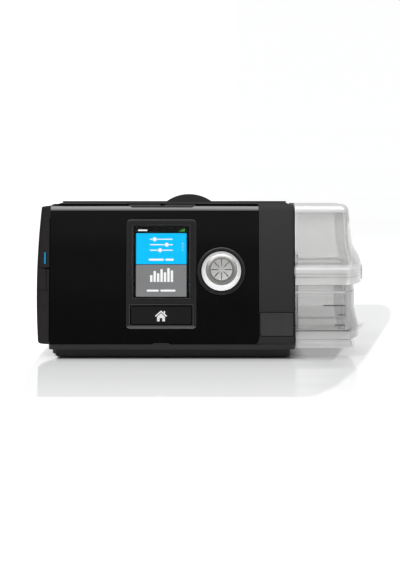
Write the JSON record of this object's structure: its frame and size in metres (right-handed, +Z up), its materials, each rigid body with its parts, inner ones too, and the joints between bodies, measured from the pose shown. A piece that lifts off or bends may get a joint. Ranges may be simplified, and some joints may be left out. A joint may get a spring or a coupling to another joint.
{
  "type": "positive airway pressure machine",
  "caption": "Bedside breathing therapy machine with screen, turn-and-press dial, start and home buttons, rear hose outlet and a slide-out heated water tub with a hinged lid.",
  "frame": {"origin": "on the surface it stands on, under the middle of the whole machine's box", "axes": "+X to the machine's right end (the water tub) seen from the front, +Y to the back (hose outlet), +Z up"},
  "size_m": [0.255, 0.15, 0.1225],
  "materials": {
    "charcoal_shell": "fine moulded texture",
    "gloss_fascia": "high gloss",
    "dark_trim": "satin moulded",
    "key_black": "satin gloss",
    "clear_tub": "clear, polished",
    "window_clear": "polished",
    "screen": "display glass",
    "knob_white": "satin translucent",
    "dial_metal": "spun",
    "plain_steel": "plain",
    "heater_metal": "satin",
    "soft_silicone": "soft matt",
    "foot_rubber": "matt",
    "blue_light": "lit translucent",
    "circuit_board": "solder mask",
    "inner_plastic": "plain moulded",
    "filter_felt": "felted fibre",
    "damping_foam": "open-cell foam",
    "contact_brass": "plated"
  },
  "bodies": {
    "device": {"base_pan": "dark_trim", "rubber_feet": "foot_rubber", "base_screws": "plain_steel", "main_housing": "charcoal_shell", "front_fascia": "gloss_fascia", "left_side_cover": "charcoal_shell", "side_light_bar": "blue_light", "memory_card": "dark_trim", "card_socket": "plain_steel", "adapter_socket": "inner_plastic", "screen_bezel": "dark_trim", "screen_window": "window_clear", "screen_module": "screen", "display_board": "circuit_board", "home_switch": "inner_plastic", "light_sensor_lens": "window_clear", "dial_ring": "dark_trim", "dial_encoder": "inner_plastic", "start_switch": "inner_plastic", "switch_bracket": "plain_steel", "air_filter": "filter_felt", "outlet_seal": "soft_silicone", "outlet_duct": "inner_plastic", "power_inlet": "dark_trim", "power_pin": "contact_brass", "tub_bay": "dark_trim", "bay_port_seals": "soft_silicone", "heater_cradle": "inner_plastic", "heater_plate": "heater_metal", "blower_mount": "soft_silicone", "volute_base": "inner_plastic", "volute_cover": "inner_plastic", "blower_motor": "plain_steel", "motor_bearings": "plain_steel", "blower_duct": "soft_silicone", "silencer_foam": "damping_foam", "main_board": "circuit_board", "radio_module": "plain_steel"},
    "card_flap": {"card_door": "charcoal_shell"},
    "adapter_lid": {"adapter_cover": "charcoal_shell"},
    "home_key": {"home_button": "key_black"},
    "start_key": {"start_button": "key_black"},
    "dial_carrier": {"dial_bush": "inner_plastic"},
    "dial": {"dial_knob": "knob_white", "dial_trim_ring": "dial_metal", "dial_cap": "dial_metal", "dial_shaft": "plain_steel"},
    "filter_flap": {"filter_cover": "charcoal_shell"},
    "outlet": {"outlet_connector": "charcoal_shell"},
    "tub": {"tub_base": "clear_tub", "lid_hinge_pin": "plain_steel", "tub_heat_plate": "plain_steel", "tub_baffle": "clear_tub"},
    "lid": {"tub_lid": "clear_tub", "tub_seal": "soft_silicone"},
    "fan": {"impeller": "inner_plastic", "motor_shaft": "plain_steel"}
  },
  "joints": [
    {"name": "start_press", "type": "slide", "parent": "device", "child": "start_key", "axis": [0, 0, -1], "range_m": [0, 0.001], "stiffness_N_per_m": 1500, "springref_m": -0.0006},
    {"name": "home_press", "type": "slide", "parent": "device", "child": "home_key", "axis": [0, 0.9848, -0.1736], "range_m": [0, 0.0008], "stiffness_N_per_m": 1500, "springref_m": -0.0006},
    {"name": "dial_press", "type": "slide", "parent": "device", "child": "dial_carrier", "axis": [0, 0.9848, -0.1736], "range_m": [0, 0.0008], "stiffness_N_per_m": 2500, "springref_m": -0.0006},
    {"name": "dial_turn", "type": "hinge", "parent": "dial_carrier", "child": "dial", "pos_m": [0.0162, -0.06139, 0.06595], "axis": [0, -0.9848, 0.1736], "continuous": true},
    {"name": "card_door_swing", "type": "hinge", "parent": "device", "child": "card_flap", "pos_m": [-0.12745, -0.02645, 0.05995], "axis": [0, 0, -1], "range_deg": [0, 100]},
    {"name": "adapter_cover_pull", "type": "slide", "parent": "device", "child": "adapter_lid", "axis": [-1, 0, 0], "range_m": [0, 0.012]},
    {"name": "filter_cover_swing", "type": "hinge", "parent": "device", "child": "filter_flap", "pos_m": [-0.103, 0.05, 0.057], "axis": [0, 0, 1], "range_deg": [0, 95]},
    {"name": "outlet_pull", "type": "slide", "parent": "device", "child": "outlet", "axis": [0, 1, 0], "range_m": [0, 0.03]},
    {"name": "tub_slide", "type": "slide", "parent": "device", "child": "tub", "axis": [1, 0, 0], "range_m": [0, 0.115]},
    {"name": "lid_swing", "type": "hinge", "parent": "tub", "child": "lid", "pos_m": [0.0154, 0.001, 0.0632], "axis": [0, -1, 0], "range_deg": [0, 62]},
    {"name": "fan_spin", "type": "hinge", "parent": "device", "child": "fan", "pos_m": [-0.06, 0.0034, 0.045], "axis": [0, 0, 1], "continuous": true}
  ],
  "couplings": [
    {"joint": "lid_swing", "follows": "tub_slide", "rad_per_m": 9.4096}
  ]
}
